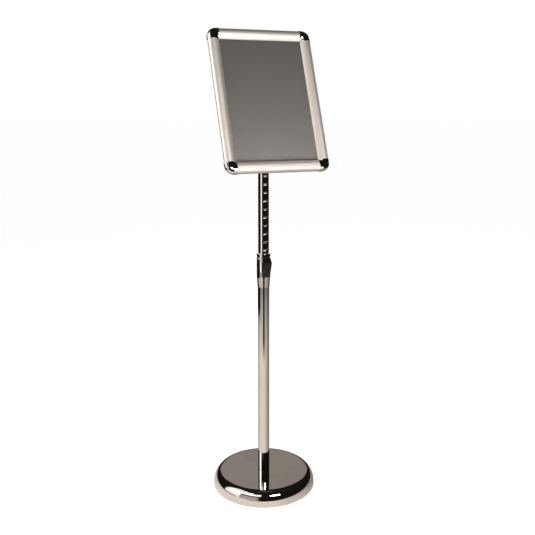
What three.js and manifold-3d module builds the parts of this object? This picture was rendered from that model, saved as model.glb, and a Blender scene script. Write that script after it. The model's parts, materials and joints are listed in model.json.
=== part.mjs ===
// Floor sign stand: a round weighted base, a two-stage post with a notched sliding mast and a
// push latch, and a tilting, turning head that carries an A4 snap frame.
// Millimetres, +Z up, the sign faces -Y, origin on the floor under the middle of the base.
import * as THREE from 'three';
import { mergeVertices } from 'three/addons/utils/BufferGeometryUtils.js';
import Module from 'manifold-3d';

const wasm = await Module();
wasm.setup();

// ---- Driving dimensions ---------------------------------------------------------------------
const GAP = 0.3; // running gap kept between neighbouring pieces
const TILT = 22.5; // degrees the sign leans back from upright

// Base
const BASE_R = 124.9; // outside radius of the dish
const BASE_TOP_R = 103.9; // flat part of its top
const BASE_H = 36.3; // height of the flat top
const BASE_WALL_H = 3.5; // upright rim below the shoulder
const RIM_LIFT = 1.0; // the dish's rim clears the floor
const DISH_T = 1.2; // sheet thickness of the dish
const PAD_R = 111;
const PAD_T = 2;
const WEIGHT_R = 112;
const WEIGHT_Z = [PAD_T + GAP, 14]; // the iron disc
const BOSS_R = 32; // its middle stands up to the dish
const BOLT_R = 6;
const BOLT_HEAD = { acrossCorners: 20.8, z: 3.2, height: 7 };
const BOLT_END = 58;
const RECESS = { radius: 14.5, top: 13 };

// Post and mast
const POST_R = 13.9;
const POST_BORE = 12.8;
const POST_Z = [BASE_H + GAP, 524];
const MAST_R = 12.5;
const MAST_BORE = 10.5;
const MAST_Z = [330, 884.7];
const FOOT_PLUG_TOP = 66;
const NOTCH_PITCH = 19;
const NOTCH_BELOW = 5; // notches under the one that the latch holds
const NOTCH_ABOVE = 12; // notches over it
const NOTCH_CUTTER_R = 3;
const NOTCH_DEPTH = 1.2;

// Latch collar
const COLLAR_R = 16;
const COLLAR_BORE = 14.2;
const COLLAR_Z = [504.5, 577.3];
const COLLAR_BODY_Z = [527, 573]; // the straight part between skirt and top chamfer
const SKIRT_R = 14.4; // where the skirt ends on the post
const NECK_R = 15.2;
const CAP_RING_Z = [577.6, 585.4];
const LATCH_Z = 536.3; // height of the pawl's nose
const PIVOT = { out: 18, z: 551 }; // latch pivot, measured out from the post's axis
const PIN_R = 1.4;
const LEVER_HALF = 9.5; // half width of the lever
const LEVER_WALL = 1.5;
const PAWL_HALF = 4.4;
const LUG_HALF = [5.2, 7.7]; // inner and outer faces of the pivot lugs
const SPRING = { out: [17.3, 24.7], z: 561, radius: 2.6, wire: 0.4, turns: 5 };

// Head
const HEAD_Z = 918.3; // tilt pivot height
const TONGUE_HALF = 5;
const TONGUE_R = 10.5;
const EAR_X = [6.5, 9.5];
const EAR_R = 11;
const WEB = { near: 23.5, far: 26.5, half: 15 }; // bracket web, distances out from the pivot
const TILT_BOLT_R = 3;
const SWIVEL_BOLT_R = 3;
const SINK_R = 6; // its countersunk head
const PLATE = { near: 30, thick: 2.2, width: 90, height: 60, screwX: 37, screwZ: 22 };
const KNOB = { x: [12, 22], radius: 15, lobes: 6, lobeDepth: 1.8, hubR: 8 };

// Snap frame
const BACK = 31; // from the tilt pivot to the frame's rear face
const FRAME_W = 241;
const FRAME_H = 328;
const RAIL = 25; // face width of a rail
const CREST = { s: 9, h: 13.4 }; // highest line of the snap rail: inset and height
const INNER_H = 6.2; // face height at the rail's inner edge
const BEAD = { s: 2.9, h: 6.3, r: 1.3 }; // hinge bead that the snap rail hooks on
const FACE_T = 1.3; // snap rail wall
const WALL_FOOT = 5.9; // lowest point of the snap rail's outer wall
const LIP_H = 5.6; // underside of the snap rail's inner lip
const PANEL_INSET = 14.5;
const PANEL_H = [1.5, 3.3];
const SHEET_INSET = 15;
const SHEET_H = [3.6, 3.9];
const SCREW_DEPTH = 1.1; // how far the plate screws reach into the backing panel
const CAP_PROUD = 1; // corner caps stand this much past the rails
const CAP_SQUARENESS = 2.6; // exponent of the cap's outline, 2 is a circle
const SPRING_LENGTH = 22;

const RAD = Math.PI / 180;

// ---- Materials ------------------------------------------------------------------------------
const finish = (color, metalness, roughness, extra = {}) =>
  new THREE.MeshStandardMaterial({ color, metalness, roughness, ...extra });
const CHROME = finish(0xd9d8d6, 1, 0.06);
const SATIN = finish(0xc4bdb4, 1, 0.3);
const STEEL = finish(0xa9aaac, 1, 0.35);
const IRON = finish(0x3a3a3b, 0.6, 0.8);
const BLACK = finish(0x191a1b, 0, 0.45);
const NYLON = finish(0xd8d4c8, 0, 0.5);
const RUBBER = finish(0x222222, 0, 0.9);
const BACKING = finish(0x5f5b57, 0, 0.7);
const CLEAR = finish(0xe8ecec, 0, 0.15, { transparent: true, opacity: 0.3 });

// ---- Geometry helpers -----------------------------------------------------------------------
function toSolid(geometry) {
  const bare = geometry.clone();
  bare.deleteAttribute('normal');
  bare.deleteAttribute('uv');
  const merged = mergeVertices(bare, 1e-4);
  return new wasm.Manifold(new wasm.Mesh({
    numProp: 3,
    vertProperties: new Float32Array(merged.attributes.position.array),
    triVerts: new Uint32Array(merged.index.array),
  }));
}

function toGeometry(solid) {
  const mesh = solid.getMesh();
  const geometry = new THREE.BufferGeometry();
  geometry.setAttribute('position', new THREE.BufferAttribute(mesh.vertProperties, 3));
  geometry.setIndex(new THREE.BufferAttribute(mesh.triVerts, 1));
  return geometry;
}

const join = (first, ...others) =>
  toGeometry(others.reduce((solid, other) => solid.add(toSolid(other)), toSolid(first)));

const cut = (first, ...tools) =>
  toGeometry(tools.reduce((solid, tool) => solid.subtract(toSolid(tool)), toSolid(first)));

// A solid turned about Z from [radius, z] points that run up the outside.
function turned(points, segments = 32) {
  const profile = points.map(([radius, z]) => new THREE.Vector2(radius, z));
  return new THREE.LatheGeometry(profile, segments).rotateX(90 * RAD);
}

function tube(inner, outer, z0, z1, segments = 32) {
  return turned([[inner, z0], [outer, z0], [outer, z1], [inner, z1], [inner, z0]], segments);
}

function rod(radius, z0, z1, segments = 20) {
  return turned([[0, z0], [radius, z0], [radius, z1], [0, z1]], segments);
}

const rodX = (radius, x0, x1, segments = 16) => rod(radius, x0, x1, segments).rotateY(90 * RAD);

// A rod along -Y, from one distance out to another.
const rodOut = (radius, out0, out1, segments = 16) =>
  rod(radius, out0, out1, segments).rotateX(90 * RAD);

function block([x0, x1], [y0, y1], [z0, z1]) {
  return new THREE.BoxGeometry(x1 - x0, y1 - y0, z1 - z0)
    .translate((x0 + x1) / 2, (y0 + y1) / 2, (z0 + z1) / 2);
}

const hexRod = (acrossCorners, z0, z1) => rod(acrossCorners / 2, z0, z1, 6);

function outline(points) {
  return new THREE.Shape(points.map(([x, y]) => new THREE.Vector2(x, y)));
}

function extruded(shape, depth, curveSegments = 12) {
  return new THREE.ExtrudeGeometry(shape, { depth, bevelEnabled: false, curveSegments });
}

// A side profile given as [distance out, z] points, spread over X from x0 to x1.
function sideProfile(points, x0, x1) {
  const turn = new THREE.Matrix4().makeBasis(
    new THREE.Vector3(0, -1, 0), new THREE.Vector3(0, 0, 1), new THREE.Vector3(-1, 0, 0));
  return extruded(outline(points), x1 - x0).applyMatrix4(turn).translate(x1, 0, 0);
}

// Points of an arc in degrees, both ends included.
function arc(cx, cy, rx, ry, from, to, steps) {
  return Array.from({ length: steps + 1 }, (_, i) => {
    const angle = (from + ((to - from) * i) / steps) * RAD;
    return [cx + rx * Math.cos(angle), cy + ry * Math.sin(angle)];
  });
}

function piece(name, geometry, material, position = [0, 0, 0], rotation = [0, 0, 0]) {
  const mesh = new THREE.Mesh(geometry, material);
  mesh.name = name;
  mesh.position.set(...position);
  mesh.rotation.set(...rotation);
  return mesh;
}

function group(children, position = [0, 0, 0], rotation = [0, 0, 0]) {
  const result = new THREE.Group();
  result.add(...children);
  result.position.set(...position);
  result.rotation.set(...rotation);
  return result;
}

// ---- Base -----------------------------------------------------------------------------------
function baseDish() {
  const shoulder = BASE_H - BASE_WALL_H;
  const outside = arc(BASE_TOP_R, BASE_WALL_H, BASE_R - BASE_TOP_R, shoulder, 0, 90, 7);
  const inside = arc(BASE_TOP_R, BASE_WALL_H, BASE_R - BASE_TOP_R - DISH_T,
    shoulder - DISH_T, 90, 0, 5);
  const hole = BOLT_R + GAP;
  const innerR = BASE_R - DISH_T;
  return turned([
    [innerR, RIM_LIFT], [BASE_R, RIM_LIFT], ...outside,
    [hole, BASE_H], [hole, BASE_H - DISH_T], ...inside, [innerR, RIM_LIFT],
  ], 56);
}

function baseWeight() {
  const chamfer = 2;
  const bossTop = BASE_H - DISH_T - GAP;
  const hole = BOLT_R + GAP;
  return turned([
    [RECESS.radius, WEIGHT_Z[0]], [WEIGHT_R - chamfer, WEIGHT_Z[0]],
    [WEIGHT_R, WEIGHT_Z[0] + chamfer], [WEIGHT_R, WEIGHT_Z[1] - chamfer],
    [WEIGHT_R - chamfer, WEIGHT_Z[1]], [BOSS_R + chamfer, WEIGHT_Z[1]], [BOSS_R, bossTop],
    [hole, bossTop], [hole, RECESS.top], [RECESS.radius, RECESS.top],
    [RECESS.radius, WEIGHT_Z[0]],
  ], 40);
}

function base() {
  const headTop = BOLT_HEAD.z + BOLT_HEAD.height;
  const bolt = join(hexRod(BOLT_HEAD.acrossCorners, BOLT_HEAD.z, headTop),
    rod(BOLT_R, headTop - 1, BOLT_END));
  const pad = turned([[0, 0], [PAD_R - 0.5, 0], [PAD_R, 0.5], [PAD_R, PAD_T], [0, PAD_T]], 40);
  return [
    piece('base_pad', pad, RUBBER),
    piece('base_weight', baseWeight(), IRON),
    piece('base_cover', baseDish(), CHROME),
    piece('base_bolt', bolt, STEEL),
    piece('base_washer', tube(BOLT_R + GAP, 13, headTop + GAP, RECESS.top - GAP), STEEL),
    piece('post_foot_plug', tube(BOLT_R + GAP, POST_BORE - GAP, POST_Z[0], FOOT_PLUG_TOP), STEEL),
  ];
}

// ---- Post, mast and latch collar --------------------------------------------------------------
function mast() {
  const axisOut = MAST_R - NOTCH_DEPTH + NOTCH_CUTTER_R;
  const cutters = [];
  for (let i = -NOTCH_BELOW; i <= NOTCH_ABOVE; i += 1) {
    const z = LATCH_Z + i * NOTCH_PITCH;
    cutters.push(rodX(NOTCH_CUTTER_R, -MAST_R, MAST_R, 14).translate(0, -axisOut, z));
  }
  return cut(tube(MAST_BORE, MAST_R, ...MAST_Z, 36), ...cutters);
}

function collarHousing() {
  const [z0, z1] = COLLAR_Z;
  const [b0, b1] = COLLAR_BODY_Z;
  const body = turned([
    [COLLAR_BORE, z0], [SKIRT_R, z0], [COLLAR_R, b0], [COLLAR_R, b1], [NECK_R, b1 + 2.2],
    [NECK_R, z1], [COLLAR_BORE, z1], [COLLAR_BORE, z0],
  ], 40);
  const blockZ = [557.5, 573.5];
  const front = block([-LUG_HALF[1], LUG_HALF[1]], [-17, -14.6], blockZ);
  const lugs = [-1, 1].map((side) => {
    const sides = LUG_HALF.map((half) => half * side).sort((a, b) => a - b);
    return block(sides, [-21, -13.6], [546.5, blockZ[0] + 1]);
  });
  const window = block([-LUG_HALF[0], LUG_HALF[0]], [-20, -10], [531, blockZ[0]]);
  const pinHole = rodX(PIN_R + GAP, -12, 12, 12).translate(0, -PIVOT.out, PIVOT.z);
  const screwHole = rodOut(2.2, -20, -10, 12).translate(0, 0, 516);
  return cut(join(body, front, ...lugs), window, pinHole, screwHole);
}

function lever() {
  const top = 576.5;
  const outside = [
    [14.5, 531], [17.2, 530.2], [29.5, 565.5], [20.6, top], [18.9, top], [14.5, PIVOT.z],
  ];
  const pocket = [
    [10, 533.4], [16.6, 533.4], [27.7, 565.2], [19.8, 574.9], [10, 574.9],
  ];
  const shell = cut(sideProfile(outside, -LEVER_HALF, LEVER_HALF),
    sideProfile(pocket, -LEVER_HALF + LEVER_WALL, LEVER_HALF - LEVER_WALL));
  const pawl = sideProfile([
    [12.9, 534.9], [15.2, 533], [17.2, 533], [24.6, 554.5], [15.2, 556.5], [15.2, 539.6],
    [12.9, 537.7],
  ], -PAWL_HALF, PAWL_HALF);
  const pinHole = rodX(PIN_R + GAP, -12, 12, 12).translate(0, -PIVOT.out, PIVOT.z);
  const cheek = (side) => new THREE.BoxGeometry(6, 6, 80)
    .rotateZ(45 * RAD).translate(side * (LEVER_HALF + 2.6), -31.9, 551);
  const collar = rod(COLLAR_R + GAP, 500, 600, 40);
  return cut(join(cut(shell, collar), pawl), pinHole, cheek(-1), cheek(1));
}

class CoilCurve extends THREE.Curve {
  constructor(radius, length, turns) {
    super();
    Object.assign(this, { radius, length, turns });
  }

  getPoint(t, target = new THREE.Vector3()) {
    const angle = 2 * Math.PI * this.turns * t;
    return target.set(this.radius * Math.cos(angle), this.radius * Math.sin(angle),
      this.length * t);
  }
}

function latchSpring() {
  const wire = outline(arc(0, 0, SPRING.wire, SPRING.wire, 0, 300, 5));
  const length = SPRING.out[1] - SPRING.out[0] - 2 * SPRING.wire;
  const coil = new THREE.ExtrudeGeometry(wire, {
    steps: 10 * SPRING.turns,
    bevelEnabled: false,
    extrudePath: new CoilCurve(SPRING.radius, length, SPRING.turns),
  });
  return coil.rotateX(90 * RAD).translate(0, -SPRING.out[0] - SPRING.wire, SPRING.z);
}

function post() {
  const bushZ = [POST_Z[1] + GAP, COLLAR_Z[1] - 1];
  const bushWindow = block([-LUG_HALF[0], LUG_HALF[0]], [-20, -10], [531, 541.5]);
  const bush = cut(tube(POST_BORE, COLLAR_BORE - GAP, ...bushZ), bushWindow);
  const [c0, c1] = CAP_RING_Z;
  const capRing = turned([
    [POST_BORE, c0], [COLLAR_R - 0.6, c0], [COLLAR_R, c0 + 0.6], [COLLAR_R, c1 - 1.5],
    [COLLAR_R - 1.5, c1], [POST_BORE, c1], [POST_BORE, c0],
  ], 40);
  const screwZ = 516;
  const lower = cut(tube(POST_BORE, POST_R, ...POST_Z, 40),
    rodOut(2.2, -20, -10, 12).translate(0, 0, screwZ));
  const screw = join(rodOut(1.9, -16.2, -13, 12), rodOut(3.2, -17.4, -15.8))
    .translate(0, 0, screwZ);
  const pin = rodX(PIN_R, -LEVER_HALF + 0.2, LEVER_HALF - 0.2, 12);
  return [
    piece('lower_post', lower, CHROME),
    piece('latch_housing', collarHousing(), CHROME),
    piece('collar_cap_ring', capRing, CHROME),
    piece('guide_bush', bush, NYLON),
    piece('housing_screw', screw, STEEL),
    piece('latch_lever', lever(), BLACK),
    piece('latch_pivot_pin', pin, STEEL, [0, -PIVOT.out, PIVOT.z]),
    piece('latch_spring', latchSpring(), STEEL),
  ];
}

function slidingMast() {
  const [z0, z1] = MAST_Z;
  const spigotR = MAST_BORE - GAP;
  const footBush = turned([
    [0, z0 - 8], [MAST_R - 1, z0 - 8], [MAST_R, z0 - 7], [MAST_R, z0 - GAP],
    [spigotR, z0 - GAP], [spigotR, z0 + 15], [0, z0 + 15],
  ], 28);
  const shoulder = z1 + GAP;
  const plug = turned([
    [0, z1 - 27], [spigotR, z1 - 27], [spigotR, shoulder], [MAST_R, shoulder],
    [MAST_R, shoulder + 3], [MAST_R - 1, shoulder + 4], [0, shoulder + 4],
  ], 32);
  const tongue = block([-TONGUE_HALF, TONGUE_HALF], [-TONGUE_R, TONGUE_R],
    [shoulder + 3.5, HEAD_Z]);
  const round = rodX(TONGUE_R, -TONGUE_HALF, TONGUE_HALF, 28).translate(0, 0, HEAD_Z);
  const bore = rodX(TILT_BOLT_R + GAP, -20, 20).translate(0, 0, HEAD_Z);
  const pinZ = z1 - 13;
  const pinHole = rodX(2 + GAP, -20, 20, 12).translate(0, 0, pinZ);
  return [
    piece('upper_mast', cut(mast(), pinHole), CHROME),
    piece('mast_foot_bush', footBush, NYLON),
    piece('head_plug', cut(join(plug, tongue, round), bore, pinHole), STEEL),
    piece('head_plug_pin', rodX(2, -MAST_R, MAST_R, 12), STEEL, [0, 0, pinZ]),
  ];
}

// ---- Tilting head, upright in its own group: X across, Z up, -Y out towards the sign ----------
function tiltBracket() {
  const { near, far, half } = WEB;
  const ear = (x0, x1) => join(rodX(EAR_R, x0, x1, 28),
    sideProfile([[0, -EAR_R], [far, -half], [far, half], [0, EAR_R]], x0, x1));
  const web = block([-EAR_X[1], EAR_X[1]], [-far, -near], [-half, half]);
  const body = join(ear(-EAR_X[1], -EAR_X[0]), ear(...EAR_X), web);
  return cut(body, rodX(TILT_BOLT_R + GAP, -20, 20),
    rodOut(SWIVEL_BOLT_R + GAP, near - 2, far + 2));
}

function knob() {
  const [x0, x1] = KNOB.x;
  const points = 8 * KNOB.lobes;
  const lobed = Array.from({ length: points }, (_, i) => {
    const angle = (i / points) * 360 * RAD;
    const radius = KNOB.radius - KNOB.lobeDepth * (1 - Math.cos(KNOB.lobes * angle)) / 2;
    return [radius * Math.cos(angle), radius * Math.sin(angle)];
  });
  const bevel = 1.2;
  const grip = new THREE.ExtrudeGeometry(outline(lobed), {
    depth: x1 - x0 - 2 * bevel, bevelSize: bevel, bevelThickness: bevel, bevelOffset: -bevel,
    bevelSegments: 1,
  }).translate(0, 0, x0 + bevel);
  const hub = rod(KNOB.hubR, EAR_X[1] + GAP, x0 + 1, 24);
  const bore = rod(TILT_BOLT_R + GAP, 0, x1 - 2, 16);
  return cut(join(grip, hub), bore).rotateY(90 * RAD);
}

function swivelBolt() {
  const far = PLATE.near + PLATE.thick;
  const end = 17;
  return turned([
    [0, end], [SWIVEL_BOLT_R, end], [SWIVEL_BOLT_R, far - 1.8],
    [SINK_R, far - 0.2], [SINK_R, far - 0.1], [0, far - 0.1],
  ], 20).rotateX(90 * RAD);
}

function mountingPlate() {
  const { near, thick, width, height, screwX, screwZ } = PLATE;
  const far = near + thick;
  const plate = block([-width / 2, width / 2], [-far, -near], [-height / 2, height / 2]);
  const sink = turned([
    [0, near - 1], [SWIVEL_BOLT_R + GAP, near - 1], [SWIVEL_BOLT_R + GAP, far - 2],
    [SINK_R + GAP, far - 0.4], [SINK_R + GAP, far + 1], [0, far + 1],
  ], 20).rotateX(90 * RAD);
  const holes = corners(screwX, screwZ).map(([x, z]) =>
    rodOut(1.8, near - 1, far + 1, 12).translate(x, 0, z));
  return cut(plate, sink, ...holes);
}

const corners = (x, z) => [[-x, z], [x, z], [-x, -z], [x, -z]];

function head() {
  const washerX = [TONGUE_HALF + GAP, EAR_X[0] - GAP];
  const washer = tube(TILT_BOLT_R + GAP, 9.5, ...washerX, 24).rotateY(90 * RAD);
  const boltHeadX = -EAR_X[1] - GAP;
  const tiltBolt = join(rod(TILT_BOLT_R, boltHeadX - 1, KNOB.x[1] - 3), turned([
    [0, boltHeadX - 3.5], [4.5, boltHeadX - 3], [7, boltHeadX - 1], [7, boltHeadX],
    [0, boltHeadX],
  ], 20)).rotateY(90 * RAD);
  const turnWasher = tube(SWIVEL_BOLT_R + GAP, 20, WEB.far + GAP, PLATE.near - GAP, 32)
    .rotateX(90 * RAD);
  const nutOut = [WEB.near - GAP - 5, WEB.near - GAP];
  const nut = cut(hexRod(11.4, ...nutOut), rod(SWIVEL_BOLT_R + GAP, 0, 40, 16))
    .rotateX(90 * RAD);
  return [
    piece('tilt_bracket', tiltBracket(), STEEL),
    piece('tilt_bolt', tiltBolt, STEEL),
    piece('tilt_washer_right', washer, NYLON),
    piece('tilt_washer_left', washer, NYLON, [0, 0, 0], [0, 0, 180 * RAD]),
    piece('tilt_knob', knob(), BLACK),
    piece('turn_washer', turnWasher, NYLON),
    piece('swivel_nut', nut, STEEL),
    piece('swivel_bolt', swivelBolt(), STEEL),
    piece('mounting_plate', mountingPlate(), STEEL),
    ...plateScrews(),
  ];
}

function plateScrews() {
  const { near, screwX, screwZ } = PLATE;
  const names = ['upper_left', 'upper_right', 'lower_left', 'lower_right'];
  const headT = 1.9;
  const tip = BACK + PANEL_H[0] + SCREW_DEPTH;
  const screw = turned([
    [0, near - GAP - headT], [2.4, near - GAP - headT], [3.2, near - GAP - 1],
    [3.2, near - GAP], [1.5, near - GAP], [1.5, tip - 0.7], [0, tip],
  ], 12).rotateX(90 * RAD);
  return corners(screwX, screwZ).map(([x, z], i) =>
    piece(`plate_screw_${names[i]}`, screw, STEEL, [x, 0, z]));
}

// ---- Snap frame sections: s runs in from the outer edge, h out from the rear face -------------
function faceCurve(lift, steps) {
  const drop = CREST.h - INNER_H;
  const reach = RAIL - CREST.s;
  return Array.from({ length: steps }, (_, i) => {
    const t = (i + 1) / steps;
    return [CREST.s + reach * t, CREST.h + lift - drop * t * t];
  });
}

function baseRailSection() {
  const { s, h, r } = BEAD;
  return outline([
    [0.3, 0], [22, 0], [22, 1.2], [5.1, 1.2], [5.1, 4.9],
    ...arc(s, h, r, r, -30, 275, 12),
    [3.9, 4.4], [3.9, 1.2], [1.5, 1.2], [1.5, 3.3], [0.3, 3.3],
  ]);
}

function snapRail(length) {
  const { s, h } = CREST;
  const outerWall = arc(s, WALL_FOOT, s, h - WALL_FOOT, 180, 90, 8);
  const innerWall = arc(s, WALL_FOOT, s - FACE_T, h - WALL_FOOT - FACE_T, 90, 180, 6);
  const face = faceCurve(0, 6);
  const under = faceCurve(-FACE_T, 6).slice(0, -1).reverse();
  const shell = extruded(outline([
    ...outerWall, ...face, [RAIL - 0.2, LIP_H], [RAIL - 1.3, LIP_H],
    ...under, ...innerWall,
  ]), length);
  const hook = extruded(outline([
    ...arc(BEAD.s, BEAD.h, BEAD.s, BEAD.s, -10, 186, 10),
    ...arc(BEAD.s, BEAD.h, BEAD.r + GAP, BEAD.r + GAP, 186, -10, 10),
  ]), length);
  const web = extruded(outline([[2, 8.4], [4.6, 8.4], [4.6, 11.2], [2, 10.4]]), length);
  return join(shell, hook, web);
}

function leafSpring() {
  const outside = [[6.4, 1.5], [6.6, 5.2], [8.2, 8.4], [10.7, 8.4], [12.3, 5.2], [13.3, 1.5]];
  const inside = [[12.7, 1.5], [11.8, 5.1], [10.4, 7.9], [8.5, 7.9], [7.1, 5.1], [6.9, 1.5]];
  return extruded(outline([...outside, ...inside]), SPRING_LENGTH);
}

// One side of the frame, modelled as the left side and turned about the frame's normal.
function side(name, across, along, angle) {
  const length = along - 2 * (RAIL + GAP);
  const down = [180 * RAD, 0, 0];
  const edge = (z) => [-across / 2, -BACK, z];
  const springAt = (z) => edge(z + SPRING_LENGTH / 2);
  return group([
    piece(`base_rail_${name}`, extruded(baseRailSection(), length), SATIN, edge(length / 2), down),
    piece(`snap_rail_${name}`, snapRail(length), SATIN, edge(length / 2), down),
    piece(`leaf_spring_${name}_1`, leafSpring(), STEEL, springAt(along / 4), down),
    piece(`leaf_spring_${name}_2`, leafSpring(), STEEL, springAt(-along / 4), down),
  ], [0, 0, 0], [0, angle * RAD, 0]);
}

// A quarter cap turned about the frame's inner corner and squared out to its outline.
function cornerCap() {
  const reach = RAIL + CAP_PROUD;
  const crest = CREST.h + 0.8;
  const crestR = RAIL - CREST.s;
  const foot = 6;
  const outer = arc(crestR, foot, reach - crestR, crest - foot, 0, 90, 6);
  const top = faceCurve(0.5, 5).map(([s, h]) => [RAIL - s, h]);
  const pocket = 14.5;
  const round = turned([
    [pocket, 0.3], [reach, 0.3], ...outer, ...top, [0, LIP_H + 0.1], [pocket, LIP_H + 0.1],
    [pocket, 0.3],
  ], 48);
  const quarter = toSolid(round).intersect(toSolid(block([0, 40], [0, 40], [-1, 20])));
  const cap = toGeometry(quarter);
  const place = cap.attributes.position;
  for (let i = 0; i < place.count; i += 1) {
    const x = Math.max(place.getX(i), 0);
    const y = Math.max(place.getY(i), 0);
    const radius = Math.hypot(x, y);
    const power = CAP_SQUARENESS;
    const stretch = radius < 1e-6 ? 1 : radius / (x ** power + y ** power) ** (1 / power);
    place.setXY(i, x * stretch, y * stretch);
  }
  const leg = block([-18, 2], [12.2, 18], [1.5, 3.6]);
  const otherLeg = block([12.2, 18], [-18, 2], [1.5, 3.6]);
  return join(cap, leg, otherLeg);
}

function frame() {
  const panel = ([h0, h1], inset) => block(
    [inset - FRAME_W / 2, FRAME_W / 2 - inset], [-BACK - h1, -BACK - h0],
    [inset - FRAME_H / 2, FRAME_H / 2 - inset]);
  const screwHoles = corners(PLATE.screwX, PLATE.screwZ).map(([x, z]) =>
    rodOut(1.8, BACK, BACK + PANEL_H[0] + SCREW_DEPTH + GAP, 12).translate(x, 0, z));
  const inX = FRAME_W / 2 - RAIL;
  const inZ = FRAME_H / 2 - RAIL;
  const caps = [
    ['upper_right', inX, inZ, 0], ['lower_right', inX, -inZ, 90],
    ['lower_left', -inX, -inZ, 180], ['upper_left', -inX, inZ, 270],
  ].map(([name, x, z, angle]) => group([
    piece(`corner_cap_${name}`, cornerCap(), CHROME, [0, 0, 0], [90 * RAD, 0, 0]),
  ], [x, -BACK, z], [0, angle * RAD, 0]));
  return [
    piece('back_panel', cut(panel(PANEL_H, PANEL_INSET), ...screwHoles), BACKING),
    piece('clear_sheet', panel(SHEET_H, SHEET_INSET), CLEAR),
    side('left', FRAME_W, FRAME_H, 0),
    side('top', FRAME_H, FRAME_W, 90),
    side('right', FRAME_W, FRAME_H, 180),
    side('bottom', FRAME_H, FRAME_W, 270),
    ...caps,
  ];
}

const stand = group([
  ...base(),
  ...post(),
  ...slidingMast(),
  group([...head(), ...frame()], [0, 0, HEAD_Z], [-TILT * RAD, 0, 0]),
]);

export default stand;
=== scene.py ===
"""Floor sign stand.

A round weighted base, a two-stage chromed post with a notched sliding mast and a push latch,
and a tilting, turning head that carries a snap frame with four hinged rails.
Metres, +Z up, the sign faces -Y, the origin is on the floor under the middle of the base.
"""
import json
import logging
import math
from dataclasses import dataclass, field
from enum import Enum
from typing import Callable, Iterable, Sequence

import bpy
from mathutils import Matrix, Vector

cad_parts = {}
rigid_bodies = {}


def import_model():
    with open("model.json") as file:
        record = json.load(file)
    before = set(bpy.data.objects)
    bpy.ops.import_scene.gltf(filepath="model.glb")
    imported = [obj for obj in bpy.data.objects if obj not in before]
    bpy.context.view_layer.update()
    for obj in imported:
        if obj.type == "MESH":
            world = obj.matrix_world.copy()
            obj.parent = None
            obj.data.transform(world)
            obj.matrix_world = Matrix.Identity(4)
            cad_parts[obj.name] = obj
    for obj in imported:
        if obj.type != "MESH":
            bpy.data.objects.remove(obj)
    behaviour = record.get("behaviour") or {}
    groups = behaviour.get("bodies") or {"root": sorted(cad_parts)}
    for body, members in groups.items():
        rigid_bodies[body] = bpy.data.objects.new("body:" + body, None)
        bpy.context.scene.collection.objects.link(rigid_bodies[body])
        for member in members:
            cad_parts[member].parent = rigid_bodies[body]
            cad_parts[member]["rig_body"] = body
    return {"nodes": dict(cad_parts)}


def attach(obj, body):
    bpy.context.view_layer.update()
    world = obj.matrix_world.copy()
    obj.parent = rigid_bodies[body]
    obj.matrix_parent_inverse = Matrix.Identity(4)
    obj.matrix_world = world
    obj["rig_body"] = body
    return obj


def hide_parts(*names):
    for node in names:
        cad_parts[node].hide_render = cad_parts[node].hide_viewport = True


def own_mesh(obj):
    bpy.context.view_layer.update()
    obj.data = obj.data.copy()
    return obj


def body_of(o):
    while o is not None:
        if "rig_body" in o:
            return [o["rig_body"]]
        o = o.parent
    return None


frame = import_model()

LOG = logging.getLogger("sign_stand")
MM = 0.001
FULL_TURN = 2 * math.pi
WELD = 2e-6

Point = tuple[float, float]
Triple = tuple[float, float, float]
Colour = tuple[float, float, float]


class Slot(Enum):
    """The record's material slots."""

    CHROME = "mirror_chrome"
    SATIN = "satin_aluminium"
    STEEL = "bright_steel"
    IRON = "cast_iron"
    PLASTIC = "black_plastic"
    NYLON = "nylon"
    RUBBER = "base_rubber"
    BACKING = "grey_backing"
    COVER = "clear_cover"


class Axis(Enum):
    """A direction in the upright row frame."""

    X = (1.0, 0.0, 0.0)
    OUT = (0.0, -1.0, 0.0)
    Z = (0.0, 0.0, 1.0)


class Side(Enum):
    """A side of the snap frame, with its turn about the frame's normal in degrees."""

    LEFT = 0
    TOP = 90
    RIGHT = 180
    BOTTOM = 270


# ---- Modelling bench --------------------------------------------------------------------------
def clear_bench() -> None:
    """Leaves edit mode and deselects everything."""
    if bpy.context.mode != "OBJECT":
        bpy.ops.object.mode_set(mode="OBJECT")
    bpy.ops.object.select_all(action="DESELECT")


def take(piece: bpy.types.Object) -> None:
    """Makes one object the selected and active one."""
    clear_bench()
    piece.select_set(True)
    bpy.context.view_layer.objects.active = piece


def open_mesh(piece: bpy.types.Object) -> None:
    """Opens an object's mesh in edit mode with all of it selected."""
    take(piece)
    bpy.ops.object.mode_set(mode="EDIT")
    bpy.ops.mesh.select_all(action="SELECT")


def drawn(name: str, points: Sequence[Point]) -> bpy.types.Object:
    """Draws a profile in the XZ plane, one extruded vertex at a time.

    Args:
        name: the new object's name.
        points: (x, z) pairs in millimetres; a closed profile repeats its first point.

    Returns:
        The object, left in edit mode with its mesh selected.
    """
    clear_bench()
    x, z = points[0]
    bpy.ops.mesh.primitive_plane_add(size=MM, location=(x * MM, 0, z * MM))
    piece = bpy.context.active_object
    piece.name = name
    bpy.ops.object.mode_set(mode="EDIT")
    bpy.ops.mesh.merge(type="CENTER")
    for (x0, z0), (x1, z1) in zip(points, points[1:]):
        step = ((x1 - x0) * MM, 0.0, (z1 - z0) * MM)
        bpy.ops.mesh.extrude_vertices_move(TRANSFORM_OT_translate={"value": step})
    bpy.ops.mesh.select_all(action="SELECT")
    return piece


def weld() -> None:
    """Merges doubles in the open mesh, closes its holes and turns its faces outwards."""
    bpy.ops.mesh.select_all(action="SELECT")
    bpy.ops.mesh.remove_doubles(threshold=WELD)
    bpy.ops.mesh.fill_holes(sides=0)
    bpy.ops.mesh.select_all(action="SELECT")
    bpy.ops.mesh.normals_make_consistent(inside=False)


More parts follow.
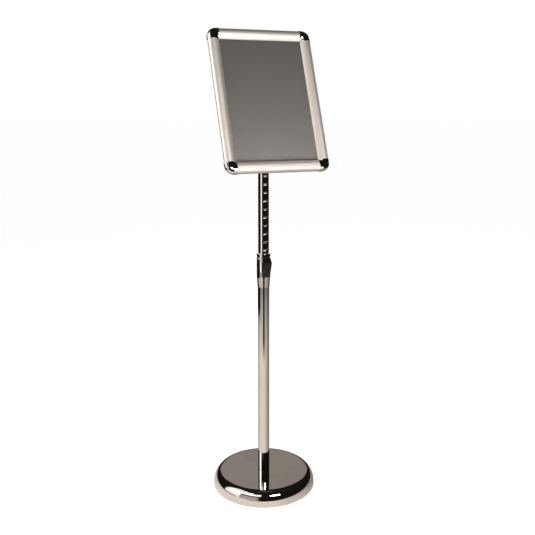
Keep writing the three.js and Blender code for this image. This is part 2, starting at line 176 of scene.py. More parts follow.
def settle(piece: bpy.types.Object, place: Matrix = Matrix(), angle: float = 32) -> None:
    """Puts the place into the mesh and smooths its shading.

    Args:
        piece: the object, in any mode.
        place: where the modelled shape goes in the row frame.
        angle: edges flatter than this, in degrees, shade smoothly.
    """
    take(piece)
    piece.matrix_world = place @ piece.matrix_world
    bpy.ops.object.transform_apply(location=True, rotation=True, scale=True)
    bpy.ops.object.shade_smooth_by_angle(angle=math.radians(angle))


def turned(name: str, points: Sequence[Point], steps: int = 96,
           place: Matrix = Matrix(), angle: float = 32) -> bpy.types.Object:
    """Spins a profile a full turn about Z.

    Args:
        name: the piece's name.
        points: (radius, z) pairs in millimetres.
        steps: faces round the axis.
        place: where the shape goes in the row frame.
        angle: smooth-shading angle in degrees.

    Returns:
        The finished object.
    """
    piece = drawn(name, points)
    bpy.ops.mesh.spin(steps=steps, angle=FULL_TURN, center=(0, 0, 0), axis=(0, 0, 1))
    weld()
    settle(piece, place, angle)
    return piece


def swept(name: str, points: Sequence[Point], start: float, end: float,
          place: Matrix = Matrix(), angle: float = 32) -> bpy.types.Object:
    """Extrudes a closed section drawn in XZ along Y.

    Args:
        name: the piece's name.
        points: the section in millimetres, without its first point repeated.
        start: where the sweep starts on Y, in millimetres.
        end: where it ends.
        place: where the shape goes in the row frame.
        angle: smooth-shading angle in degrees.

    Returns:
        The finished object.
    """
    piece = drawn(name, [*points, points[0]])
    bpy.ops.mesh.remove_doubles(threshold=WELD)
    bpy.ops.mesh.extrude_region_move(
        TRANSFORM_OT_translate={"value": (0, (end - start) * MM, 0)})
    weld()
    bpy.ops.object.mode_set(mode="OBJECT")
    settle(piece, place @ Matrix.Translation((0, start * MM, 0)), angle)
    return piece


def modifier(piece: bpy.types.Object, kind: str, **settings: object) -> None:
    """Adds one modifier, sets it up and applies it."""
    take(piece)
    bpy.ops.object.modifier_add(type=kind)
    made = piece.modifiers[-1]
    for key, value in settings.items():
        setattr(made, key, value)
    bpy.ops.object.modifier_apply(modifier=made.name)


def bevelled(piece: bpy.types.Object, width: float, segments: int = 3,
             limit: float = 34, shade: float = 50) -> None:
    """Rounds the sharp edges.

    Args:
        piece: the object to finish.
        width: bevel width in millimetres.
        segments: steps across the bevel.
        limit: edges sharper than this, in degrees, are rounded.
        shade: smooth-shading angle in degrees afterwards.
    """
    modifier(piece, "BEVEL", width=width * MM, segments=segments, limit_method="ANGLE",
             angle_limit=math.radians(limit), harden_normals=False,
             miter_outer="MITER_ARC", use_clamp_overlap=True)
    take(piece)
    bpy.ops.object.shade_smooth_by_angle(angle=math.radians(shade))


def combined(piece: bpy.types.Object, tool: bpy.types.Object, how: str) -> None:
    """Joins or cuts a piece with a tool and throws the tool away.

    Args:
        piece: the object that is kept.
        tool: the object it is combined with.
        how: "UNION", "DIFFERENCE" or "INTERSECT".
    """
    modifier(piece, "BOOLEAN", object=tool, operation=how, solver="EXACT")
    bpy.data.objects.remove(tool)


def rod(radius: float, start: float, end: float, axis: Axis, at: Triple = (0, 0, 0),
        sides: int = 32) -> bpy.types.Object:
    """A plain round tool along an axis, from start to end in millimetres."""
    clear_bench()
    way = Vector(axis.value)
    middle = (Vector(at) + way * (start + end) / 2) * MM
    turn = Vector((0, 0, 1)).rotation_difference(way).to_euler()
    bpy.ops.mesh.primitive_cylinder_add(vertices=sides, radius=radius * MM,
                                        depth=(end - start) * MM, location=middle,
                                        rotation=turn)
    return bpy.context.active_object


def block(x: Point, y: Point, z: Point) -> bpy.types.Object:
    """A plain square tool that spans the three ranges, in millimetres."""
    clear_bench()
    middle = [(lo + hi) / 2 * MM for lo, hi in (x, y, z)]
    size = [(hi - lo) * MM for lo, hi in (x, y, z)]
    bpy.ops.mesh.primitive_cube_add(size=1, location=middle, scale=size)
    tool = bpy.context.active_object
    bpy.ops.object.transform_apply(location=True, rotation=True, scale=True)
    return tool


def copied(node: str, name: str) -> bpy.types.Object:
    """A welded copy of a CAD node, left open in edit mode.

    Args:
        node: the CAD node to copy.
        name: the new piece's name.

    Returns:
        The copy.
    """
    piece = frame["nodes"][node].copy()
    piece.data = piece.data.copy()
    piece.data.materials.clear()
    piece.name = name
    for key in [key for key in piece.keys() if key.startswith("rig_")]:
        del piece[key]
    bpy.context.collection.objects.link(piece)
    place = piece.matrix_world.copy()
    piece.parent = None
    piece.matrix_world = place
    if piece.data.has_custom_normals:
        take(piece)
        bpy.ops.mesh.customdata_custom_splitnormals_clear()
    open_mesh(piece)
    bpy.ops.mesh.remove_doubles(threshold=WELD)
    return piece


def refined(node: str, name: str, width: float, segments: int = 2) -> bpy.types.Object:
    """A copy of a CAD node with its triangles merged into flats and its edges rounded.

    Args:
        node: the CAD node to copy.
        name: the new piece's name.
        width: edge radius in millimetres.
        segments: steps across each rounded edge.

    Returns:
        The finished object.
    """
    piece = copied(node, name)
    bpy.ops.mesh.dissolve_limited(angle_limit=math.radians(1.0))
    settle(piece)
    bevelled(piece, width, segments)
    return piece


def arc(centre: Point, radii: Point, span: Point, steps: int) -> list[Point]:
    """Points of an elliptical arc.

    Args:
        centre: its centre.
        radii: its two radii.
        span: first and last angle in degrees.
        steps: number of segments.

    Returns:
        The points, both ends included.
    """
    first, last = span
    angles = [math.radians(first + (last - first) * i / steps) for i in range(steps + 1)]
    return [(centre[0] + radii[0] * math.cos(a), centre[1] + radii[1] * math.sin(a))
            for a in angles]


def mounted(piece: bpy.types.Object, body: str, slot: Slot, *nodes: str) -> None:
    """Registers a new piece.

    Args:
        piece: the finished object.
        body: the CAD body it rides on.
        slot: the material slot of its finish; not used.
        nodes: the CAD nodes it stands for.
    """
    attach(piece, body)
    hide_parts(*nodes)
    LOG.info("%s on %s: %d faces", piece.name, body, len(piece.data.polygons))


# ---- Finishes ---------------------------------------------------------------------------------
class Sheet:
    """A short way to lay out a node tree."""

    def __init__(self, tree: bpy.types.NodeTree) -> None:
        """Starts from an empty tree."""
        tree.nodes.clear()
        self.tree = tree

    def add(self, kind: str, inputs: dict | None = None, **settings: object) -> bpy.types.Node:
        """Adds a node.

        Args:
            kind: the node's type name.
            inputs: values or output sockets by input name or number.
            settings: the node's own properties.

        Returns:
            The node.
        """
        node = self.tree.nodes.new(kind)
        for key, value in settings.items():
            setattr(node, key, value)
        for key, value in (inputs or {}).items():
            if isinstance(value, bpy.types.NodeSocket):
                self.tree.links.new(value, node.inputs[key])
            else:
                node.inputs[key].default_value = value
        return node

    def place(self, scale: Triple = (1, 1, 1), turn: Triple = (0, 0, 0)) -> bpy.types.NodeSocket:
        """Object coordinates through a Mapping node.

        Args:
            scale: stretch of the pattern on each axis.
            turn: turn of the pattern in degrees.

        Returns:
            The vector socket.
        """
        where = self.add("ShaderNodeTexCoord").outputs["Object"]
        angles = tuple(math.radians(a) for a in turn)
        turned_first = self.add("ShaderNodeMapping", {"Vector": where, "Rotation": angles})
        return self.add("ShaderNodeMapping",
                        {"Vector": turned_first.outputs[0], "Scale": scale}).outputs[0]

    def noise(self, vector: bpy.types.NodeSocket, scale: float, detail: float = 3,
              rough: float = 0.5) -> bpy.types.NodeSocket:
        """A noise pattern's value socket."""
        return self.add("ShaderNodeTexNoise", {
            "Vector": vector, "Scale": scale, "Detail": detail, "Roughness": rough,
        }).outputs[0]

    def spread(self, value: bpy.types.NodeSocket, source: Point, target: Point,
               smooth: bool = False) -> bpy.types.NodeSocket:
        """Maps a value from one range to another, clamped."""
        kind = "SMOOTHSTEP" if smooth else "LINEAR"
        return self.add("ShaderNodeMapRange", {
            "Value": value, "From Min": source[0], "From Max": source[1],
            "To Min": target[0], "To Max": target[1],
        }, interpolation_type=kind).outputs[0]

    def sum(self, operation: str, a: object, b: object = 0.0) -> bpy.types.NodeSocket:
        """A Math node's result."""
        return self.add("ShaderNodeMath", {0: a, 1: b}, operation=operation).outputs[0]

    def blend(self, factor: object, first: object, second: object) -> bpy.types.NodeSocket:
        """A mix of two colours by a factor."""
        return self.add("ShaderNodeMix", {0: factor, 6: first, 7: second},
                        data_type="RGBA").outputs[2]

    def bump(self, height: bpy.types.NodeSocket, depth: float, strength: float = 1.0
             ) -> bpy.types.NodeSocket:
        """A bump of that depth in millimetres."""
        return self.add("ShaderNodeBump", {
            "Height": height, "Distance": depth * MM, "Strength": strength,
        }).outputs[0]


def rgba(colour: Colour) -> tuple[float, float, float, float]:
    """The colour with full alpha."""
    return (*colour, 1.0)


def surface(name: str, lay: Callable[[Sheet], dict]) -> bpy.types.Material:
    """Makes a material with one Principled shader.

    Args:
        name: the material's name.
        lay: lays the patterns out and returns the shader's inputs.

    Returns:
        The material.
    """
    material = bpy.data.materials.new(name)
    material.use_nodes = True
    sheet = Sheet(material.node_tree)
    shader = sheet.add("ShaderNodeBsdfPrincipled", lay(sheet))
    sheet.add("ShaderNodeOutputMaterial", {"Surface": shader.outputs[0]})
    return material


@dataclass(frozen=True)
class MirrorChrome:
    """Polished plating: soft waviness under it, hairline wiping marks and faint smears."""

    name: str = "mirror_chrome_plate"
    tint: Colour = (0.62, 0.575, 0.53)
    smeared: Colour = (0.57, 0.525, 0.48)
    polish: Point = (0.02, 0.05)
    wave_depth: float = 0.004
    hairline_depth: float = 0.0006
    grain: Triple = (1, 1, 0.06)

    def make(self) -> bpy.types.Material:
        """The plated finish."""
        def lay(s: Sheet) -> dict:
            """Smears set tint and gloss, waviness and hairlines set the bump."""
            smear = s.spread(s.noise(s.place(), 14, 5, 0.6), (0.42, 0.72), (0, 1), smooth=True)
            hairs = s.noise(s.place(scale=self.grain), 2600, 2)
            wave = s.noise(s.place(), 22, 2)
            under = s.bump(wave, self.wave_depth)
            lines = s.add("ShaderNodeBump", {
                "Height": hairs, "Distance": self.hairline_depth * MM, "Strength": 1.0,
                "Normal": under})
            return {
                "Base Color": s.blend(smear, rgba(self.tint), rgba(self.smeared)),
                "Metallic": 1.0,
                "Roughness": s.spread(smear, (0, 1), self.polish),
                "Normal": lines.outputs[0],
            }
        return surface(self.name, lay)


@dataclass(frozen=True)
class SatinAluminium:
    """Anodised extrusion with fine draw lines along its length."""

    name: str
    stretch: Triple
    turn: Triple = (22.5, 0, 0)
    tint: Colour = (0.77, 0.715, 0.665)
    shade: Colour = (0.68, 0.63, 0.585)
    gloss: Point = (0.46, 0.56)
    line_depth: float = 0.004

    def make(self) -> bpy.types.Material:
        """The anodised finish."""
        def lay(s: Sheet) -> dict:
            """Draw lines set bump and gloss, broad cloudiness sets the tint."""
            lines = s.noise(s.place(scale=self.stretch, turn=self.turn), 1500, 3, 0.65)
            cloud = s.noise(s.place(), 9, 4, 0.6)
            tone = s.sum("ADD", s.sum("MULTIPLY", lines, 0.5), s.sum("MULTIPLY", cloud, 0.5))
            return {
                "Base Color": s.blend(s.spread(tone, (0.35, 0.65), (0, 1)),
                                      rgba(self.tint), rgba(self.shade)),
                "Metallic": 0.88,
                "Roughness": s.spread(tone, (0.35, 0.65), self.gloss),
                "Normal": s.bump(lines, self.line_depth),
            }
        return surface(self.name, lay)


@dataclass(frozen=True)
class BrightSteel:
    """Zinc-plated or ground steel with a mottled bloom and grinding marks."""

    name: str = "bright_zinc_steel"
    tint: Colour = (0.52, 0.52, 0.53)
    bloom: Colour = (0.38, 0.38, 0.39)
    gloss: Point = (0.26, 0.48)

    def make(self) -> bpy.types.Material:
        """The plated steel finish."""
        def lay(s: Sheet) -> dict:
            """Bloom sets tint and gloss, grinding marks set the bump."""
            bloom = s.noise(s.place(), 160, 5, 0.6)
            marks = s.noise(s.place(scale=(1, 1, 0.15)), 1800, 2)
            return {
                "Base Color": s.blend(s.spread(bloom, (0.35, 0.7), (0, 1)),
                                      rgba(self.tint), rgba(self.bloom)),
                "Metallic": 1.0,
                "Roughness": s.spread(bloom, (0.35, 0.7), self.gloss),
                "Normal": s.bump(marks, 0.006),
            }
        return surface(self.name, lay)


@dataclass(frozen=True)
class Moulded:
    """Moulded plastic or rubber: spark-eroded texture, scuffs and slight fading."""

    name: str
    tint: Colour
    scuffed: Colour
    gloss: Point = (0.34, 0.55)
    texture_scale: float = 2400
    texture_depth: float = 0.012
    level: float = 0.5

    def make(self) -> bpy.types.Material:
        """The moulded finish."""
        def lay(s: Sheet) -> dict:
            """Scuffs set tint and gloss, the mould's texture sets the bump."""
            scuff = s.spread(s.noise(s.place(scale=(1, 1, 2.5)), 240, 6, 0.7),
                             (0.5, 0.75), (0, 1), smooth=True)
            skin = s.noise(s.place(), self.texture_scale, 2)
            return {
                "Base Color": s.blend(scuff, rgba(self.tint), rgba(self.scuffed)),
                "Metallic": 0.0,
                "Specular IOR Level": self.level,
                "Roughness": s.spread(scuff, (0, 1), self.gloss),
                "Normal": s.bump(skin, self.texture_depth),
            }
        return surface(self.name, lay)


@dataclass(frozen=True)
class CastIron:
    """Sand-cast iron under a dull black coat, with pores and a little rust."""

    name: str = "sand_cast_iron"
    tint: Colour = (0.045, 0.043, 0.042)
    rust: Colour = (0.16, 0.07, 0.035)

    def make(self) -> bpy.types.Material:
        """The cast finish."""
        def lay(s: Sheet) -> dict:
            """Rust blooms set the tint, sand grain sets the bump."""
            bloom = s.spread(s.noise(s.place(), 60, 7, 0.7), (0.58, 0.72), (0, 1), smooth=True)
            grain = s.noise(s.place(), 700, 4, 0.7)
            return {
                "Base Color": s.blend(bloom, rgba(self.tint), rgba(self.rust)),
                "Metallic": 0.5,
                "Roughness": s.spread(grain, (0.3, 0.7), (0.6, 0.9)),
                "Normal": s.bump(grain, 0.12),
            }
        return surface(self.name, lay)


@dataclass(frozen=True)
class GreyBacking:
    """Grey printed board: faint paper fibre and a slight calender mark."""

    name: str = "grey_backing_board"
    tint: Colour = (0.080, 0.074, 0.070)
    fibre: Colour = (0.069, 0.064, 0.0605)

    def make(self) -> bpy.types.Material:
        """The board's finish."""
        def lay(s: Sheet) -> dict:
            """Fibres set tint and bump."""
            fibre = s.noise(s.place(scale=(1, 0.3, 1)), 900, 5, 0.7)
            cloud = s.noise(s.place(), 5, 3)
            tone = s.sum("MULTIPLY", s.sum("ADD", fibre, cloud), 0.5)
            return {
                "Base Color": s.blend(s.spread(tone, (0.38, 0.62), (0, 1)),
                                      rgba(self.tint), rgba(self.fibre)),
                "Metallic": 0.0,
                "Roughness": s.spread(fibre, (0.3, 0.7), (0.62, 0.78)),
                "Normal": s.bump(fibre, 0.02),
            }
        return surface(self.name, lay)


@dataclass(frozen=True)
class ClearSheet:
    """Anti-glare film: a faint haze with an etched skin."""

    name: str = "anti_glare_film"
    haze: Colour = (0.14, 0.131, 0.123)
    alpha: float = 0.34
    gloss: Point = (0.26, 0.34)

    def make(self) -> bpy.types.Material:
        """The film's finish."""
        def lay(s: Sheet) -> dict:
            """The etched skin sets gloss and bump."""
            skin = s.noise(s.place(), 1900, 2)
            wipe = s.noise(s.place(scale=(1, 1, 0.3)), 7, 4, 0.6)
            return {
                "Base Color": s.blend(s.spread(wipe, (0.35, 0.65), (0, 1)), rgba(self.haze),
                                      rgba(tuple(c * 0.94 for c in self.haze))),
                "Metallic": 0.0,
                "Specular IOR Level": 0.7,
                "Roughness": s.spread(wipe, (0.35, 0.65), self.gloss),
                "Alpha": self.alpha,
                "Normal": s.bump(skin, 0.003),
            }
        return surface(self.name, lay)


@dataclass
class Finishes:
    """Every finish of the stand, made once."""

    chrome: bpy.types.Material = field(
        default_factory=lambda: MirrorChrome().make())
    base_chrome: bpy.types.Material = field(
        default_factory=lambda: MirrorChrome("mirror_chrome_dish", grain=(1, 0.06, 1)).make())
    satin_upright: bpy.types.Material = field(
        default_factory=lambda: SatinAluminium("satin_extrusion_upright", (1, 1, 0.012)).make())
    satin_level: bpy.types.Material = field(
        default_factory=lambda: SatinAluminium("satin_extrusion_level", (0.012, 1, 1)).make())
    steel: bpy.types.Material = field(default_factory=lambda: BrightSteel().make())
    spring: bpy.types.Material = field(
        default_factory=lambda: BrightSteel("spring_steel", (0.40, 0.40, 0.42),
                                            (0.30, 0.29, 0.30), (0.22, 0.38)).make())
    plastic: bpy.types.Material = field(
        default_factory=lambda: Moulded("black_moulding", (0.007, 0.0065, 0.006),
                                        (0.016, 0.015, 0.014), level=0.3).make())
    nylon: bpy.types.Material = field(
        default_factory=lambda: Moulded("natural_nylon", (0.66, 0.64, 0.57),
                                        (0.58, 0.55, 0.47), (0.38, 0.52)).make())
    rubber: bpy.types.Material = field(
        default_factory=lambda: Moulded("ribbed_rubber", (0.014, 0.014, 0.014),
                                        (0.035, 0.034, 0.032), (0.68, 0.88),
                                        900, 0.05).make())
    iron: bpy.types.Material = field(default_factory=lambda: CastIron().make())
    backing: bpy.types.Material = field(default_factory=lambda: GreyBacking().make())
    film: bpy.types.Material = field(default_factory=lambda: ClearSheet().make())

    def dress(self, piece: bpy.types.Object, material: bpy.types.Material) -> None:
        """Gives an object one material all over."""
        if piece.material_slots:
            for place in piece.material_slots:
                place.link = "OBJECT"
                place.material = material
        else:
            piece.data.materials.append(material)

    def dress_nodes(self, material: bpy.types.Material, *nodes: str) -> None:
        """Gives carried-over CAD nodes one material all over."""
        for node in nodes:
            self.dress(frame["nodes"][node], material)


# ---- Base -------------------------------------------------------------------------------------
@dataclass
class Base:
    """The plated dish with its shoulder, rolled rim, iron weight and rubber pad."""

    finishes: Finishes
    radius: float = 124.9
    top_radius: float = 103.9
    height: float = 36.3
    wall: float = 3.5
    rim: float = 1.0
    sheet: float = 1.2
    hole: float = 6.3
    steps: int = 160

    def outside(self) -> list[Point]:
        """The dish's outer profile from the rim to the hole."""
        shoulder = (self.radius - self.top_radius, self.height - self.wall)
        curve = arc((self.top_radius, self.wall), shoulder, (0, 90), 28)
        seat = [(60, self.height), (17, self.height), (14.6, self.height - 0.05)]
        return [(self.radius - 0.6, self.rim), (self.radius - 0.15, self.rim + 0.2),
                (self.radius, self.rim + 0.7), *curve, *seat, (self.hole, self.height - 0.05)]

    def inside(self) -> list[Point]:
        """The inner profile from the hole back to the rim."""
        shoulder = (self.radius - self.top_radius - self.sheet,
                    self.height - self.wall - self.sheet)
        curve = arc((self.top_radius, self.wall), shoulder, (90, 0), 16)
        lip = (self.radius - self.sheet, self.rim + 0.1)
        return [(self.hole, self.height - self.sheet), *curve, lip, (self.radius - 0.6, self.rim)]

    def build(self) -> None:
        """Makes the dish and dresses the pieces under it."""
        dish = turned("base_dish", [*self.outside(), *self.inside()], self.steps, angle=40)
        self.finishes.dress(dish, self.finishes.base_chrome)
        mounted(dish, "post", Slot.CHROME, "base_cover")
        left_out(dish, "all_but_dish_and_post")
        self.finishes.dress_nodes(self.finishes.rubber, "base_pad")
        self.finishes.dress_nodes(self.finishes.iron, "base_weight")
        self.finishes.dress_nodes(self.finishes.steel, "base_bolt", "base_washer",
                                  "post_foot_plug")


# ---- Post and mast ----------------------------------------------------------------------------
@dataclass
class Post:
    """The outer tube and the notched mast that slides in it."""

    finishes: Finishes
    outer: float = 13.9
    bore: float = 12.8
    ends: Point = (36.6, 524)
    mast_outer: float = 12.5
    mast_bore: float = 10.5
    mast_ends: Point = (330, 884.7)
    screw_height: float = 516
    pin_height: float = 871.7
    notch_first: float = 536.3
    notch_pitch: float = 19
    notches: tuple[int, int] = (-5, 12)
    cutter: float = 3
    depth: float = 1.2

    def tube(self, name: str, outer: float, bore: float, ends: Point) -> bpy.types.Object:
        """A plain tube with its ends' edges broken."""
        z0, z1 = ends
        edge = 0.25
        return turned(name, [
            (bore, z0 + edge), (bore + edge, z0), (outer - edge, z0), (outer, z0 + edge),
            (outer, z1 - edge), (outer - edge, z1), (bore + edge, z1), (bore, z1 - edge),
            (bore, z0 + edge)], 96)

    def build(self) -> None:
        """Makes both tubes, cuts the screw hole, pin hole and notches, and dresses them."""
        lower = self.tube("post_tube", self.outer, self.bore, self.ends)
        combined(lower, rod(2.2, -20, -10, Axis.OUT, (0, 0, self.screw_height)), "DIFFERENCE")
        settle(lower)
        self.finishes.dress(lower, self.finishes.chrome)
        mounted(lower, "post", Slot.CHROME, "lower_post")
        left_out(lower, "all_but_dish_and_post")

        mast = self.tube("mast_tube", self.mast_outer, self.mast_bore, self.mast_ends)
        out = self.mast_outer - self.depth + self.cutter
        first, last = self.notches
        for i in range(first, last + 1):
            height = self.notch_first + i * self.notch_pitch
            combined(mast, rod(self.cutter, -self.mast_outer, self.mast_outer, Axis.X,
                               (0, -out, height)), "DIFFERENCE")
        combined(mast, rod(2.3, -20, 20, Axis.X, (0, 0, self.pin_height)), "DIFFERENCE")
        settle(mast)
        self.finishes.dress(mast, self.finishes.chrome)
        mounted(mast, "mast", Slot.CHROME, "upper_mast")
        lit_group("mast").objects.link(mast)
        self.finishes.dress_nodes(self.finishes.nylon, "mast_foot_bush")


# ---- Latch collar -----------------------------------------------------------------------------
@dataclass
class LatchCollar:
    """The housing on top of the post, its ring, and the push lever that locks the mast."""

    finishes: Finishes
    radius: float = 16
    bore: float = 14.2
    ends: Point = (504.5, 577.3)
    body: Point = (527, 573)
    skirt: float = 14.4
    neck: float = 15.2
    ring: Point = (577.6, 585.4)
    ring_bore: float = 12.8
    screw_height: float = 516
    pivot: Point = (18, 551)
    lug: Point = (5.2, 7.7)
    spring_seat: Triple = (0, -17.3, 561)
    spring_pressed: float = 0.74

    def housing(self) -> bpy.types.Object:
        """The turned body with its lugs, window and screw hole."""
        z0, z1 = self.ends
        b0, b1 = self.body
        body = turned("latch_body", [
            (self.bore, z0), (self.skirt - 0.1, z0), (self.skirt, z0 + 0.1),
            (self.radius - 0.25, b0 - 0.8), (self.radius, b0 + 1.2), (self.radius, b1 - 0.8),
            (self.radius - 0.25, b1 + 0.1), (self.neck, b1 + 2.2), (self.neck, z1 - 0.1),
            (self.neck - 0.1, z1), (self.bore, z1), (self.bore, z0)], 80)
        near, far = self.lug
        combined(body, block((-far, far), (-17, -14.6), (557.5, 573.5)), "UNION")
        for side in (-1, 1):
            span = tuple(sorted((side * near, side * far)))
            combined(body, block(span, (-21, -13.6), (546.5, 558.5)), "UNION")
        combined(body, block((-near, near), (-20, -10), (531, 557.5)), "DIFFERENCE")
        out, height = self.pivot
        combined(body, rod(1.7, -12, 12, Axis.X, (0, -out, height)), "DIFFERENCE")
        combined(body, rod(2.2, -20, -10, Axis.OUT, (0, 0, self.screw_height)), "DIFFERENCE")
        settle(body, angle=28)
        return body

    def build(self) -> None:
        """Makes the housing, the ring and the lever, and dresses the small parts."""
        body = self.housing()
        self.finishes.dress(body, self.finishes.chrome)
        mounted(body, "post", Slot.CHROME, "latch_housing")

        c0, c1 = self.ring
        rounded = arc((self.radius - 1.5, c1 - 1.5), (1.5, 1.5), (0, 90), 6)
        ring = turned("collar_ring", [
            (self.ring_bore, c0), (self.radius - 0.5, c0), (self.radius, c0 + 0.5), *rounded,
            (self.ring_bore + 0.3, c1), (self.ring_bore, c1 - 0.3), (self.ring_bore, c0)], 96)
        self.finishes.dress(ring, self.finishes.chrome)
        mounted(ring, "post", Slot.CHROME, "collar_cap_ring")

        lever = refined("latch_lever", "push_lever", 0.5, 3)
        self.finishes.dress(lever, self.finishes.plastic)
        mounted(lever, "latch", Slot.PLASTIC, "latch_lever")

        screw = refined("housing_screw", "collar_screw", 0.25)
        self.finishes.dress(screw, self.finishes.steel)
        mounted(screw, "post", Slot.STEEL, "housing_screw")
        self.finishes.dress_nodes(self.finishes.nylon, "guide_bush")
        self.finishes.dress_nodes(self.finishes.steel, "latch_pivot_pin")

        coil = copied("latch_spring", "lever_spring")
        settle(coil, angle=60)
        self.finishes.dress(coil, self.finishes.spring)
        mounted(coil, "post", Slot.STEEL, "latch_spring")
        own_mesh(coil)


# ---- Head -------------------------------------------------------------------------------------
@dataclass
class Head:
    """The plug in the mast, the tilting bracket, its knob and the turning plate."""

    finishes: Finishes

    def build(self) -> None:
        """Makes the head's pieces and dresses them."""
        steel, nylon = self.finishes.steel, self.finishes.nylon
        rows = [
            ("head_plug", "mast_plug", "mast", Slot.STEEL, steel, 0.4),
            ("tilt_bracket", "fork_bracket", "tilt_head", Slot.STEEL, steel, 0.5),
            ("tilt_bolt", "fork_bolt", "tilt_head", Slot.STEEL, steel, 0.3),
            ("mounting_plate", "turning_plate", "frame", Slot.STEEL, steel, 0.4),
            ("swivel_nut", "swivel_hex_nut", "tilt_head", Slot.STEEL, steel, 0.3),
            ("turn_washer", "friction_washer", "tilt_head", Slot.NYLON, nylon, 0.3),
            ("tilt_knob", "lobed_knob", "knob", Slot.PLASTIC, self.finishes.plastic, 0.4),
        ]
        for node, name, body, slot, material, width in rows:
            piece = refined(node, name, width)
            self.finishes.dress(piece, material)
            mounted(piece, frame_body(node, body), slot, node)
        self.finishes.dress_nodes(steel, "head_plug_pin", "swivel_bolt", *PLATE_SCREWS)
        self.finishes.dress_nodes(nylon, "tilt_washer_left", "tilt_washer_right")


PLATE_SCREWS = tuple(f"plate_screw_{row}_{column}"
                     for row in ("upper", "lower") for column in ("left", "right"))


def frame_body(node: str, planned: str) -> str:
    """The body that a CAD node rides on, or the planned one if it can't be told."""
    riding = body_of(frame["nodes"][node])
    return riding[0] if riding else planned


